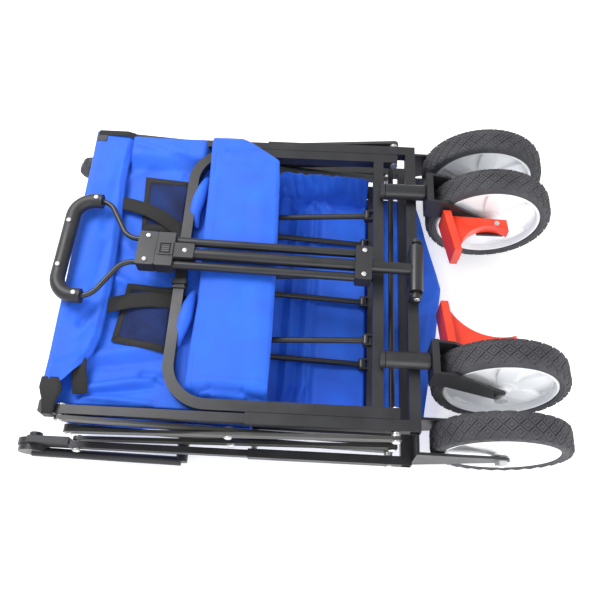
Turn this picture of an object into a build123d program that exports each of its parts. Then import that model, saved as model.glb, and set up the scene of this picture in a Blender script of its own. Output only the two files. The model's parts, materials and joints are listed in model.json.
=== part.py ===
from build123d import *
from math import asin, cos, radians, sin
import os

os.makedirs("parts", exist_ok=True)

# A folding beach cart, folded flat and lying on its back.
# +X points from the handle end to the wheels, which is down when the cart stands.
# +Z points up from the surface it lies on, which is forwards when it stands.
# Y runs across the cart. Origin: middle of the footprint, on the surface below. Millimetres.

# Driving dimensions
wheel_radius = 100.0
wheel_width = 40.0
wheel_x = 311.0
rear_wheel_y = 235.0
rear_wheel_z = 100.0
caster_y = 142.0
caster_axis_z = 170.5
caster_trail = 52.0
swivel_play = {-1: -6.0, 1: -2.0}

tube = 16.0
wall = 1.4
rear_z = 56.0
front_z = 150.0
mid_z = (rear_z + front_z) / 2
pivot_x = 155.0
link_length = 470.0
link_width = 16.0
link_thick = 5.0
fold_lean = asin((mid_z - rear_z) / link_length)
top_x = pivot_x - link_length * cos(fold_lean)

arm_y = 216.4
front_leg_y = 233.0
inner_y = 244.7
outer_y = 250.5
rear_leg_y = 260.2
rear_leg_width = 12.8

arch_x = -179.0
arm_end_x = 160.0
arch_corner = 68.0
leg_top_x = -55.0
crossbar_x = 129.0
axle_bar_x = 181.0
post_end_x = -15.0
post_top_x = -324.0
post_play = 0.2

pin_r = 3.5
run = 0.05
head_r = 6.0
head_h = 1.8

rod_r = 4.5
rod_pivot_x = 113.0
rod_drop = 10.0
rod_rows = (-108.0, 0.0, 108.0)
rod_shift = 5.5
floor_board = 220.0
unfold_lean = radians(47.5)
open_travel = 2 * link_length * (sin(unfold_lean) - sin(fold_lean))
rod_half_gap = (front_z - rear_z) / 2 - rod_drop
rod_length = rod_half_gap + open_travel / 2
rod_lean = asin(rod_half_gap / rod_length)

handle_x = 183.0
handle_y = -1.5
handle_z = 180.0
handle_lean = radians(1.55)
sleeve_length = 76.0
handle_plane = Plane(
    origin=(handle_x, handle_y, handle_z),
    x_dir=(-cos(handle_lean), sin(handle_lean), 0),
    z_dir=(0, 0, 1),
)

push_x = -387.0
push_z = 32.0
push_arm_r = 7.0
push_bar_x = -160.0
push_bar_z = 16.0

ALONG_X = (0, 90, 0)
ALONG_Y = (90, 0, 0)
SIDES = (-1, 1)


def save(piece, name):
    """Label a finished piece and write it as its own STEP file."""
    piece.part.label = name
    export_step(piece.part, f"parts/{name}.step")


def block(x0, x1, y0, y1, z0, z1, mode=Mode.ADD):
    """A box between two corners."""
    with Locations(((x0 + x1) / 2, (y0 + y1) / 2, (z0 + z1) / 2)):
        Box(abs(x1 - x0), abs(y1 - y0), abs(z1 - z0), mode=mode)


def rod(x, y, z, radius, length, along=ALONG_Y, mode=Mode.ADD):
    """A cylinder centred on a point, along one axis."""
    with Locations(Location((x, y, z), along)):
        Cylinder(radius, length, mode=mode)


def cross_pin(x, z, y0, y1, radius, mode=Mode.ADD):
    """A cylinder along Y between two places."""
    rod(x, (y0 + y1) / 2, z, radius, abs(y1 - y0), ALONG_Y, mode)


def tube_x(x0, x1, y, z, width=tube, height=tube):
    """A square tube along X, open at both ends."""
    block(x0, x1, y - width / 2, y + width / 2, z - height / 2, z + height / 2)
    inner_w = width / 2 - wall
    inner_h = height / 2 - wall
    block(x0 - 1, x1 + 1, y - inner_w, y + inner_w, z - inner_h, z + inner_h, Mode.SUBTRACT)


def tube_y(x, y0, y1, z):
    """A square tube along Y, open at both ends."""
    half = tube / 2
    block(x - half, x + half, y0, y1, z - half, z + half)
    inner = half - wall
    block(x - inner, x + inner, y0 - 1, y1 + 1, z - inner, z + inner, Mode.SUBTRACT)


def arch(name, z, holes):
    """A hoop: a bent square tube across the cart with an arm down each side."""
    with BuildPart() as hoop:
        for outer in (0, wall):
            mode = Mode.SUBTRACT if outer else Mode.ADD
            width = 2 * arm_y + tube - 2 * outer
            inside = width - 2 * (tube - 2 * outer)
            bend = arch_corner - outer
            split_x = arch_x + arch_corner
            centre_x = arch_x + outer + width / 2
            with BuildSketch(Plane.XY.offset(z)):
                with Locations((centre_x, 0)):
                    RectangleRounded(width, width, bend)
                    RectangleRounded(inside, inside, bend - (tube - 2 * outer), mode=Mode.SUBTRACT)
                with Locations((split_x + width, 0)):
                    Rectangle(2 * width, 2 * width, mode=Mode.SUBTRACT)
            extrude(amount=tube / 2 - outer, both=True, mode=mode)
        for side in SIDES:
            tube_x(arch_x + arch_corner + 0.02, arm_end_x, side * arm_y, z)
        for side in SIDES:
            for x in holes:
                cross_pin(x, z, side * (arm_y - tube), side * (arm_y + tube), pin_r + run, Mode.SUBTRACT)
    save(hoop, name)


def legs(name, y, z, width):
    """The two corner legs, hollow so that the upper posts slide in them."""
    with BuildPart() as pair:
        for side in SIDES:
            tube_x(leg_top_x, axle_bar_x - tube / 2, side * y, z, width, tube)
            cross_pin(pivot_x, z, side * (y - tube), side * (y + tube), pin_r + run, Mode.SUBTRACT)
    save(pair, name)


def posts(name, y, z, width):
    """The two upper posts that slide in the legs."""
    post_width = width - 2 * wall - 2 * post_play
    post_height = tube - 2 * wall - 2 * post_play
    with BuildPart() as pair:
        for side in SIDES:
            tube_x(post_top_x, post_end_x, side * y, z, post_width, post_height)
            cross_pin(top_x, z, side * (y - tube), side * (y + tube), pin_r + run, Mode.SUBTRACT)
    save(pair, name)


def cross_tubes(name, z, inside, reach, to_middle):
    """The floor bar and the axle bar of one end frame, with the lugs of the floor rods."""
    pivot_z = z + to_middle * rod_drop
    with BuildPart() as bars:
        tube_y(crossbar_x, -inside, inside, z)
        tube_y(axle_bar_x, -reach, reach, z)
        for row in rod_rows:
            y = row - to_middle * rod_shift
            for ear in SIDES:
                y0 = y + ear * 6.2
                y1 = y + ear * 8.7
                block(rod_pivot_x - 5, crossbar_x - tube / 2, y0, y1, pivot_z - 5, pivot_z + 5)
            cross_pin(rod_pivot_x, pivot_z, y - 9.5, y + 9.5, 3.0)
    save(bars, name)


def floor_rods(name, z, to_middle):
    """Three rods of one half of the floor, each with an eye on its lug pin."""
    pivot_z = z + to_middle * rod_drop
    along = (-cos(rod_lean), 0, to_middle * sin(rod_lean))
    with BuildPart() as rods:
        for row in rod_rows:
            y = row - to_middle * rod_shift
            with BuildSketch(Plane(origin=(rod_pivot_x, y, pivot_z), z_dir=along)):
                Circle(rod_r)
            extrude(amount=rod_length - 6)
            cross_pin(rod_pivot_x, pivot_z, y - 6, y + 6, 6.0)
            cross_pin(rod_pivot_x, pivot_z, y - 7, y + 7, 3.0 + run, Mode.SUBTRACT)
    save(rods, name)


def floor_panel(name, z, to_middle):
    """One half of the fabric floor, a thin board on the inner side of its rods."""
    pivot_z = z + to_middle * rod_drop
    along = (-cos(rod_lean), 0, to_middle * sin(rod_lean))
    with BuildPart() as panel:
        floor_plane = Plane(origin=(rod_pivot_x, 0, pivot_z), x_dir=along, z_dir=(0, to_middle, 0))
        with BuildSketch(floor_plane):
            with Locations((20 + floor_board / 2, rod_r + 2.8)):
                Rectangle(floor_board, 4)
        extrude(amount=190, both=True)
    save(panel, name)


def links(name, y, low_z, high_z):
    """A left and a right link of the side scissors, from a low pivot up to a high one."""
    lean = 1 if high_z > low_z else -1
    along = (-cos(fold_lean), 0, lean * sin(fold_lean))
    with BuildPart() as pair:
        for side in SIDES:
            link_plane = Plane(origin=(pivot_x, side * y, low_z), x_dir=along, z_dir=(0, side, 0))
            with BuildSketch(link_plane):
                with Locations((link_length / 2, 0)):
                    SlotCenterToCenter(link_length, link_width)
                with Locations((0, 0), (link_length / 2, 0), (link_length, 0)):
                    Circle(pin_r + run, mode=Mode.SUBTRACT)
            extrude(amount=link_thick / 2, both=True)
    save(pair, name)


def rivet(x, z, side, y0, y1, collar=None):
    """A headed pin through its layers, with a spacing collar where the layers are apart."""
    cross_pin(x, z, side * y0, side * y1, pin_r)
    cross_pin(x, z, side * (y0 - head_h), side * y0, head_r)
    cross_pin(x, z, side * y1, side * (y1 + head_h), head_r)
    if collar:
        cross_pin(x, z, side * collar[0], side * collar[1], 6.5)


# Places along the scissors
cross_x = (pivot_x + top_x) / 2
rear_cross_z = (rear_z + mid_z) / 2
front_cross_z = (mid_z + front_z) / 2
inner_in = inner_y - link_thick / 2 - 0.1
outer_out = outer_y + link_thick / 2 + 0.1
gap_in = inner_y + link_thick / 2 + 0.1
gap_out = outer_y - link_thick / 2 - 0.1
leg_in = rear_leg_y - rear_leg_width / 2
leg_out = rear_leg_y + rear_leg_width / 2
front_leg_out = front_leg_y + tube / 2
socket_in = leg_in - 3
socket_out = leg_in + 6.6
arm_in = arm_y - tube / 2
arm_out = arm_y + tube / 2

# Rear end frame
arch("rear_arch", rear_z, (pivot_x,))
legs("rear_legs", rear_leg_y, rear_z, rear_leg_width)
cross_tubes("rear_cross_tubes", rear_z, arm_in, leg_out, 1)

with BuildPart() as rear_rivets:
    for side in SIDES:
        rivet(pivot_x, rear_z, side, inner_in, leg_out, (gap_in, leg_in))
        cross_pin(pivot_x, rear_z, side * arm_in, side * (inner_in - head_h), pin_r)
        cross_pin(leg_top_x + 9, rear_z, side * arm_out, side * leg_in, 5.0)
save(rear_rivets, "rear_frame_rivets")

with BuildPart() as rear_forks:
    fork_in = rear_wheel_y - wheel_width / 2 - 8
    fork_out = rear_wheel_y + wheel_width / 2 + 3
    crown_x = axle_bar_x + tube / 2
    for side in SIDES:
        block(crown_x, crown_x + 4, side * fork_in, side * (fork_out + 4), rear_z - 8, rear_wheel_z + 14)
        for y in (fork_in, fork_out):
            middle = side * (y + 2)
            with BuildSketch(Plane.XZ.offset(-middle)):
                with BuildLine():
                    Polyline(
                        (crown_x + 4, rear_z - 8),
                        (crown_x + 4, rear_wheel_z + 14),
                        (wheel_x, rear_wheel_z + 12),
                        (wheel_x, rear_wheel_z - 12),
                        close=True,
                    )
                make_face()
                with Locations((wheel_x, rear_wheel_z)):
                    Circle(12)
                    Circle(6.05, mode=Mode.SUBTRACT)
            extrude(amount=2, both=True)
save(rear_forks, "rear_forks")

with BuildPart() as rear_axles:
    for side in SIDES:
        cross_pin(wheel_x, rear_wheel_z, side * (fork_in - 4), side * (fork_out + 12), 6.0)
        cross_pin(wheel_x, rear_wheel_z, side * (fork_in - 6), side * fork_in, 9.0)
        with BuildSketch(Plane.XZ.offset(-side * (fork_out + 7.5))):
            with Locations((wheel_x, rear_wheel_z)):
                RegularPolygon(9.5, 6)
        extrude(amount=3.5, both=True)
save(rear_axles, "rear_axles")

# Front end frame
arch("front_arch", front_z, (pivot_x,))
legs("front_legs", front_leg_y, front_z, tube)
cross_tubes("front_cross_tubes", front_z, arm_in, front_leg_out, -1)

with BuildPart() as front_rivets:
    for side in SIDES:
        rivet(pivot_x, front_z, side, arm_in, inner_in - 0.5, (arm_out, front_leg_y - tube / 2))
        cross_pin(leg_top_x + 9, front_z, side * arm_out, side * (front_leg_y - tube / 2), 5.0)
save(front_rivets, "front_frame_rivets")

with BuildPart() as head_tubes:
    head_x0 = 138.0
    head_x1 = 200.0
    for side in SIDES:
        rod((head_x0 + head_x1) / 2, side * caster_y, caster_axis_z, 12.5, head_x1 - head_x0, ALONG_X)
        rod((head_x0 + head_x1) / 2, side * caster_y, caster_axis_z, 8.05, 80, ALONG_X, Mode.SUBTRACT)
save(head_tubes, "front_head_tubes")

with BuildPart() as handle_lugs:
    with Locations(handle_plane):
        for ear in SIDES:
            with Locations((0, ear * (sleeve_length / 2 + 3.5), -10)):
                Box(18, 5, 24)
        with Locations(Location((0, 0, 0), ALONG_Y)):
            Cylinder(5.05, 120, mode=Mode.SUBTRACT)
save(handle_lugs, "handle_lugs")

# Side scissors
links("inner_rear_links", inner_y, rear_z, mid_z)
links("outer_rear_links", outer_y, mid_z, rear_z)
links("outer_front_links", outer_y, front_z, mid_z)
links("inner_front_links", inner_y, mid_z, front_z)

with BuildPart() as inner_rear_rivets:
    for side in SIDES:
        rivet(cross_x, rear_cross_z, side, inner_in, outer_out)
        rivet(top_x, mid_z, side, inner_in, outer_out)
save(inner_rear_rivets, "inner_rear_rivets")

with BuildPart() as outer_rear_rivets:
    for side in SIDES:
        rivet(top_x, rear_z, side, outer_y - link_thick / 2 - 0.2, leg_out)
save(outer_rear_rivets, "rear_top_rivets")

with BuildPart() as mid_cross_rod:
    for side in SIDES:
        cross_pin(pivot_x, mid_z, 0, side * (inner_in - 0.1), 4.5)
        cross_pin(pivot_x, mid_z, 0, side * outer_out, 3.3)
        cross_pin(pivot_x, mid_z, side * outer_out, side * (outer_out + head_h), head_r)
save(mid_cross_rod, "mid_cross_rod")

with BuildPart() as outer_front_rivets:
    for side in SIDES:
        rivet(cross_x, front_cross_z, side, inner_in, outer_out)
        cross_pin(pivot_x, front_z, side * (front_leg_out + 3.2), side * outer_out, pin_r)
        cross_pin(pivot_x, front_z, side * outer_out, side * (outer_out + head_h), head_r)
        cross_pin(pivot_x, front_z, side * (front_leg_out + 3.2), side * gap_out, 6.5)
save(outer_front_rivets, "outer_front_rivets")

with BuildPart() as inner_front_rivets:
    for side in SIDES:
        rivet(top_x, front_z, side, front_leg_y - 6.6, gap_in)
save(inner_front_rivets, "front_top_rivets")

# Upper posts, their caps and the hinge sockets of the push handle
posts("front_posts", front_leg_y, front_z, tube)
posts("rear_posts", rear_leg_y, rear_z, rear_leg_width)

with BuildPart() as front_caps:
    for side in SIDES:
        block(post_top_x - 16, post_top_x, side * (front_leg_y - 10), side * (front_leg_y + 8.5), 140, 165)
    fillet(front_caps.edges().filter_by(Axis.Z), 3)
save(front_caps, "front_post_caps")

with BuildPart() as sockets:
    for side in SIDES:
        block(push_x, post_top_x, side * socket_in, side * socket_out, 30, rear_z + 10)
        cross_pin(push_x, push_z, side * socket_in, side * socket_out, 24)
        cross_pin(push_x, push_z, side * (socket_in - 9), side * (socket_out + 9), 6.3, Mode.SUBTRACT)
save(sockets, "push_handle_sockets")

for side, word in ((-1, "near"), (1, "far")):
    with BuildPart() as button:
        cross_pin(push_x, push_z, side * (socket_in - 6), side * (socket_out + 0.6), 6.2)
        cross_pin(push_x, push_z, side * (socket_in - 12), side * (socket_in - 6), 10.0)
        fillet(button.edges().filter_by(GeomType.CIRCLE).sort_by(Axis.Y)[-1 if side < 0 else 0], 2.5)
    save(button, f"push_button_{word}")

# Push handle, folded under the cart
with BuildPart() as push_handle:
    tilt = asin((push_z - push_bar_z) / (push_bar_x - push_x))
    for side in SIDES:
        arm_line = side * (socket_out + 0.3 + push_arm_r + 0.5)
        cross_pin(push_x, push_z, side * (socket_out + 0.3), side * (socket_out + 9.3), 22)
        with BuildSketch(Plane(origin=(push_x, arm_line, push_z), z_dir=(cos(tilt), 0, -sin(tilt)))):
            Circle(push_arm_r)
        extrude(amount=push_bar_x - push_x)
        cross_pin(push_x, push_z, side * socket_in, side * (socket_out + 5.2), 6.3, Mode.SUBTRACT)
    cross_pin(push_bar_x, push_bar_z, -socket_out - 9, socket_out + 9, 9)
    cross_pin(push_bar_x, push_bar_z, -182, 182, 8, Mode.SUBTRACT)
save(push_handle, "push_handle_bar")

with BuildPart() as push_grip:
    cross_pin(push_bar_x, push_bar_z, -180, 180, 16)
    cross_pin(push_bar_x, push_bar_z, -181, 181, 9.02, Mode.SUBTRACT)
save(push_grip, "push_handle_grip")

# Floor
floor_rods("floor_rods_rear", rear_z, 1)
floor_rods("floor_rods_front", front_z, -1)
floor_panel("floor_panel_rear", rear_z, 1)
floor_panel("floor_panel_front", front_z, -1)

# Fabric basket, gathered between the end frames
rim_x0 = -342.0
rim_x1 = -330.0
cloth_end_x = -48.0
front_cloth_y = 222.0
front_cloth_z = (131.0, 141.3)
front_rim_z = (120.0, 164.0)
flap_x = -146.0
flap_y = 196.0
flap_z = (159.0, 167.0)
rear_cloth_y = 200.0
rear_rim_y = 238.0
rear_cloth_z = (65.0, 71.0)
rear_rim_z = (52.0, 112.0)

with BuildPart() as front_fabric:
    block(rim_x1, cloth_end_x, -front_cloth_y, front_cloth_y, *front_cloth_z)
    block(rim_x0, rim_x1, -front_cloth_y, front_cloth_y, *front_rim_z)
    block(flap_x, cloth_end_x, -flap_y, flap_y, *flap_z)
save(front_fabric, "basket_front_panel")

with BuildPart() as rear_fabric:
    block(rim_x1, cloth_end_x, -rear_cloth_y, rear_cloth_y, *rear_cloth_z)
    block(rim_x0, rim_x1, -rear_rim_y, rear_rim_y, *rear_rim_z)
save(rear_fabric, "basket_rear_panel")

side_cloth_x0 = -322.0
side_cloth_y = (196.0, 240.0)
side_cloth_z = (72.0, 130.0)
with BuildPart() as side_fabric:
    for side in SIDES:
        y0, y1 = side_cloth_y
        block(side_cloth_x0, cloth_end_x, side * y0, side * y1, *side_cloth_z)
save(side_fabric, "basket_sides")


def wheel_parts(plane, name):
    """A tyre and its rim, turning about the local Y axis."""
    with BuildPart(plane) as tyre:
        with Locations(Location((0, 0, 0), ALONG_Y)):
            Cylinder(wheel_radius, wheel_width)
            Cylinder(rim_radius, wheel_width + 2, mode=Mode.SUBTRACT)
        fillet(tyre.edges().filter_by(GeomType.CIRCLE).group_by(SortBy.RADIUS)[-1], 7)
    save(tyre, f"{name}_tyre")
    with BuildPart(plane) as rim:
        with Locations(Location((0, 0, 0), ALONG_Y)):
            Cylinder(rim_radius, wheel_width - 4)
        for face in SIDES:
            with Locations(Location((0, face * wheel_width / 2, 0), ALONG_Y)):
                Cylinder(rim_radius - 9, wheel_width - 12, mode=Mode.SUBTRACT)
        with Locations(Location((0, 0, 0), ALONG_Y)):
            Cylinder(18, wheel_width + 5)
            Cylinder(6 + run, wheel_width + 9, mode=Mode.SUBTRACT)
    save(rim, f"{name}_rim")


def caster(side, word):
    """A front caster: a forked carrier, its stem and axle, a wheel and a brake pedal."""
    turn = radians(swivel_play[side])
    plane = Plane(
        origin=(wheel_x, side * caster_y, caster_axis_z),
        x_dir=(1, 0, 0),
        z_dir=(0, -sin(turn), cos(turn)),
    )
    hub = plane.offset(-caster_trail)
    wheel_parts(hub, f"caster_{word}")
    crown_x0 = 202.0 - wheel_x
    inner = -side
    with BuildPart(plane) as fork:
        block(crown_x0, crown_x0 + 10, -27, 27, -26, 18)
        for cheek in SIDES:
            cheek_origin = plane.from_local_coords((0, cheek * 25, 0))
            with BuildSketch(Plane(origin=cheek_origin, x_dir=plane.x_dir, z_dir=-plane.y_dir)):
                with BuildLine():
                    Polyline(
                        (crown_x0, -26),
                        (crown_x0, 18),
                        (crown_x0 + 34, 12),
                        (4, -caster_trail + 13),
                        (4, -caster_trail - 13),
                        (crown_x0 + 26, -26),
                        close=True,
                    )
                make_face()
            extrude(amount=2, both=True)
        block(-24, 18, inner * 27, inner * 52, -36.5, -32.5)
        rod(pedal_pin_x, inner * pedal_pin_y, -34.5, 4 + run, 10, (0, 0, 0), Mode.SUBTRACT)
        cross_pin(0, -caster_trail, -40, 40, 6 + run, Mode.SUBTRACT)
    save(fork, f"caster_{word}_fork")
    with BuildPart(plane) as pins:
        rod(crown_x0 - 33, 0, 0, 8, 66, ALONG_X)
        rod(crown_x0 - 68.5, 0, 0, 12, 7, ALONG_X)
        cross_pin(0, -caster_trail, -33, 33, 6)
        for end in SIDES:
            cross_pin(0, -caster_trail, end * 27.1, end * 33, 9.5)
        rod(pedal_pin_x, inner * pedal_pin_y, -24, 4, 25, (0, 0, 0))
    save(pins, f"caster_{word}_pins")
    lean = pedal_lean[side]
    with BuildPart(plane) as pedal:
        with BuildSketch(plane.offset(-32)):
            with BuildLine():
                Polyline((-82 + lean, inner * 102), (-82, inner * 31), (20, inner * 35))
                Line((20, inner * 35), (22, inner * 56))
                ThreePointArc((22, inner * 56), (-40, inner * 61), (-70 + lean, inner * 102))
                Line((-70 + lean, inner * 102), (-82 + lean, inner * 102))
            make_face()
        extrude(amount=18)
        with BuildSketch(plane.offset(-44)):
            with BuildLine():
                Polyline(
                    (-82 + lean, inner * 102),
                    (-82, inner * 31),
                    (-70, inner * 31),
                    (-71 + lean, inner * 102),
                    close=True,
                )
            make_face()
        extrude(amount=44)
        with Locations((pedal_pin_x, inner * pedal_pin_y, -25)):
            Cylinder(4 + run, 40, mode=Mode.SUBTRACT)
    save(pedal, f"brake_pedal_{word}")


# Wheels
rim_radius = 83.0
pedal_pin_x = 4.0
pedal_pin_y = 43.0
pedal_lean = {-1: -7.0, 1: 15.0}
for side, word in ((-1, "near"), (1, "far")):
    wheel_parts(Plane((wheel_x, side * rear_wheel_y, rear_wheel_z)), f"rear_wheel_{word}")
    caster(side, word)

# Pull handle, built along the line it lies on
neck_x = 332.0
latch_x = 362.0
yoke_x = 389.0
grip_x = 529.0
grip_y = 82.0
slider_x = 66.0
side_rod_y = 20.0

with BuildPart(handle_plane) as handle_tube:
    rod(neck_x / 2, 0, 0, 9, neck_x, ALONG_X)
    cross_pin(0, 0, -sleeve_length / 2, sleeve_length / 2, 10.5)
    rod(neck_x / 2 + 8, 0, 0, 7.6, neck_x - 14, ALONG_X, Mode.SUBTRACT)
    cross_pin(0, 0, -60, 60, 5 + run, Mode.SUBTRACT)
save(handle_tube, "pull_handle_tube")

with BuildPart(handle_plane) as handle_bolt:
    cross_pin(0, 0, -49, 49, 5)
    for end in SIDES:
        cross_pin(0, 0, end * 44.1, end * 49, 8)
save(handle_bolt, "handle_pivot_bolt")

with BuildPart(handle_plane) as latch_block:
    block(neck_x, latch_x, -12, 12, -11, 11)
    block(latch_x, yoke_x - 0.5, -28, 28, -12, 12)
    fillet(latch_block.edges().filter_by(Axis.Z), 2)
    for end in SIDES:
        rod(latch_x + 10, end * side_rod_y, 0, 6.8, 60, ALONG_X, Mode.SUBTRACT)
    block(latch_x + 5, latch_x + 19, -7.2, 7.2, 2, 13, Mode.SUBTRACT)
save(latch_block, "latch_block")

with BuildPart(handle_plane) as latch_button:
    block(latch_x + 5.2, latch_x + 18.8, -7, 7, 7, 13)
    fillet(latch_button.faces().sort_by(Axis.Z)[-1].edges(), 1.5)
save(latch_button, "latch_button")

with BuildPart(handle_plane) as side_rods:
    for end in SIDES:
        rod((slider_x + 25 + yoke_x) / 2, end * side_rod_y, 0, 6.5, yoke_x - slider_x - 25, ALONG_X)
save(side_rods, "handle_side_rods")

with BuildPart(handle_plane) as slider:
    block(slider_x, slider_x + 25, -28, 28, -12, 12)
    fillet(slider.edges().filter_by(Axis.Z), 3)
    rod(slider_x, 0, 0, 9.3, 80, ALONG_X, Mode.SUBTRACT)
save(slider, "handle_slider")

with BuildPart(handle_plane) as yoke:
    block(yoke_x, yoke_x + 28, -28, 28, -12, 12)
    fillet(yoke.edges().filter_by(Axis.Z), 3)
save(yoke, "handle_yoke")

loop_half = [(yoke_x + 28, side_rod_y), (yoke_x + 49, side_rod_y), (grip_x - 53, grip_y), (grip_x, grip_y)]
loop_line = loop_half + [(x, -y) for x, y in reversed(loop_half)]
grip_line = [(grip_x - 41, grip_y), (grip_x, grip_y), (grip_x, -grip_y), (grip_x - 41, -grip_y)]


def handle_bend(points, radius, bore, name):
    """A round bar bent along a flat line of the handle, with an optional bore."""
    with BuildPart() as bar:
        with BuildLine(handle_plane) as line:
            FilletPolyline(*points, radius=30)
        with BuildSketch(Plane(origin=line.line @ 0, z_dir=line.line % 0)):
            Circle(radius)
            if bore:
                Circle(bore, mode=Mode.SUBTRACT)
        sweep()
    save(bar, name)


handle_bend(loop_line, 4, 0, "handle_loop")
handle_bend(grip_line, 11, 4 + run, "handle_grip")

with BuildPart(handle_plane) as screws:
    for end in SIDES:
        for x, y, top in ((78, 20, 12), (yoke_x + 14, 20, 12), (grip_x - 33, grip_y, 11), (grip_x, 38, 11)):
            rod(x, end * y, top + 0.6, 3.5, 1.2, (0, 0, 0))
save(screws, "handle_screws")
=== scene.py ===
# %% [markdown]
# # A folding beach cart, folded flat on its back
# The cart is a steel scissor frame with a gathered blue basket, four wheels, a
# pull handle on the upper face and a push handle tucked under it. The packed
# part gives every hard piece its place. This lesson dresses those pieces in
# finishes, and makes the soft and moulded ones that the part only blocks out.

# %% Load the frame
import json
import math

import bmesh
import bpy
import numpy as np
from mathutils import Matrix, Vector


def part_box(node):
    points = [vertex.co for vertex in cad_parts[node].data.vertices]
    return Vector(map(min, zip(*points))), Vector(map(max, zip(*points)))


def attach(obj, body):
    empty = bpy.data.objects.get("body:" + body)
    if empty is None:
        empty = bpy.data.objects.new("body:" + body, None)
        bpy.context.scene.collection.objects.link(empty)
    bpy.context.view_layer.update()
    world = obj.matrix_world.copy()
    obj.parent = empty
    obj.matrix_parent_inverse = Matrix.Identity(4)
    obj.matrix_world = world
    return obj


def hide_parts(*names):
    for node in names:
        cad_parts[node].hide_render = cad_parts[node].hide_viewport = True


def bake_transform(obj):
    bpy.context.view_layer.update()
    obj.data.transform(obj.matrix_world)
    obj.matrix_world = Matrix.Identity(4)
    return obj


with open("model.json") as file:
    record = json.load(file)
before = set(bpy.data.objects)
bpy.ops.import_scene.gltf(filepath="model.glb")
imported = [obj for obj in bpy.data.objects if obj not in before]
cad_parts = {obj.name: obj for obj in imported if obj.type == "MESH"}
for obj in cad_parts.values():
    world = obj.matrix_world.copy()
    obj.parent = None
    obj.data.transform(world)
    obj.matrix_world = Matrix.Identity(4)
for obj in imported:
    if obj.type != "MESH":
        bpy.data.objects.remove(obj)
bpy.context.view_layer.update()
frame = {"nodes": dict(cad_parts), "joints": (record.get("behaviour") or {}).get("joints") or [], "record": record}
MM = 0.001
SQUARE = ((-1, -1), (1, -1), (1, 1), (-1, 1))


def linked(name, data):
    """An object of that data, linked into the scene."""
    obj = bpy.data.objects.new(name, data)
    bpy.context.scene.collection.objects.link(obj)
    return obj


def attached(piece, body, slot):
    """Rides a piece on its body; the slot is not used."""
    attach(piece, body)
    return piece


# %% [markdown]
# ## Camera
# The camera stands a good metre away and looks steeply down over the side of the
# cart. Its lens is a little shorter than 50 mm, so the near wheels grow a little.
# The place and the direction are worked out once and then never touched.

# %% Camera
EYE = Vector((0.0351, -0.4852, 1.0805))
LOOK = Vector((-0.0221, 0.4266, -0.9041))
camera_data = bpy.data.cameras.new("studio_camera")
camera_data.lens = 41.03
camera_data.sensor_width = 36.0
camera_data.clip_start = 0.02
camera = linked("studio_camera", camera_data)
camera.location = EYE
camera.rotation_mode = "QUATERNION"
camera.rotation_quaternion = LOOK.to_track_quat("-Z", "Y")
bpy.context.scene.camera = camera
bpy.context.scene.view_settings.view_transform = "Standard"
print("camera looks along", [round(v, 3) for v in LOOK])

# %% [markdown]
# ## Studio
# The cart is shown in a white room: a pale floor, light from everywhere, and three
# soft boxes. The key box above the far left corner gives tubes a bright top and a
# dark underside, the front box lights the near side, and the wheel box the wheels.
# An even white sky could light the scene alone, but nothing would have a lit side.

# %% Studio floor and lights
def node_material(name):
    """A new material, with its node tree and its shader."""
    made = bpy.data.materials.new(name)
    made.use_nodes = True
    return made, made.node_tree, made.node_tree.nodes["Principled BSDF"]


STUDIO_REACH, STUDIO_Z = 12.0, -0.0006
floor_mesh = bpy.data.meshes.new("studio_floor")
floor_mesh.from_pydata([(x * STUDIO_REACH, y * STUDIO_REACH, STUDIO_Z) for x, y in SQUARE], [], [(0, 1, 2, 3)])
studio_floor = linked("studio_floor", floor_mesh)
floor_white, _, shader = node_material("floor_white")
shader.inputs["Base Color"].default_value = (0.86, 0.86, 0.86, 1)
shader.inputs["Roughness"].default_value = 0.9
shader.inputs["Specular IOR Level"].default_value = 0.0
shader.inputs["Emission Color"].default_value = (1, 1, 1, 1)
shader.inputs["Emission Strength"].default_value = 0.45
floor_mesh.materials.append(floor_white)

world = bpy.data.worlds.new("studio_air")
world.use_nodes = True
world.node_tree.nodes["Background"].inputs["Color"].default_value = (0.97, 0.98, 1.0, 1)
world.node_tree.nodes["Background"].inputs["Strength"].default_value = 0.78
bpy.context.scene.world = world


def soft_box(name, place, target, size, watts):
    """A square area light that faces a point."""
    data = bpy.data.lights.new(name, "AREA")
    data.shape = "SQUARE"
    data.size = size
    data.energy = watts
    box = linked(name, data)
    box.location = place
    box.rotation_mode = "QUATERNION"
    box.rotation_quaternion = (Vector(target) - Vector(place)).to_track_quat("-Z", "Y")


soft_box("key_box", (-0.9, 0.6, 1.5), (0, 0, 0.1), 0.8, 25)
soft_box("front_box", (0.4, -1.9, 0.9), (0.1, 0, 0.1), 1.3, 16)
soft_box("wheel_box", (1.5, -0.9, 0.8), (0.31, 0, 0.1), 0.9, 9)
print("studio: floor, even air and three soft boxes")

# %% [markdown]
# ## Hard finishes
# Powder coat, moulded plastic and rubber each have a grain of their own. A grain
# could be painted, but procedural noise in Object coordinates keeps its true
# size on every tube, and each finish also varies a little in roughness, which
# is what makes a surface look handled instead of computed.

# %% Grain and wear for hard finishes
NOISE_SPAN = (0.3, 0.7)
MOTTLE = 40.0


def wire(tree, a, b):
    """One link from an output socket to an input socket."""
    tree.links.new(a, b)


def noise(tree, coordinates, size, detail):
    """A noise texture whose blobs are about size millimetres across."""
    texture = tree.nodes.new("ShaderNodeTexNoise")
    texture.inputs["Scale"].default_value = 1.0 / (size * MM)
    texture.inputs["Detail"].default_value = detail
    wire(tree, coordinates, texture.inputs["Vector"])
    return texture.outputs["Fac"]


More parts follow.
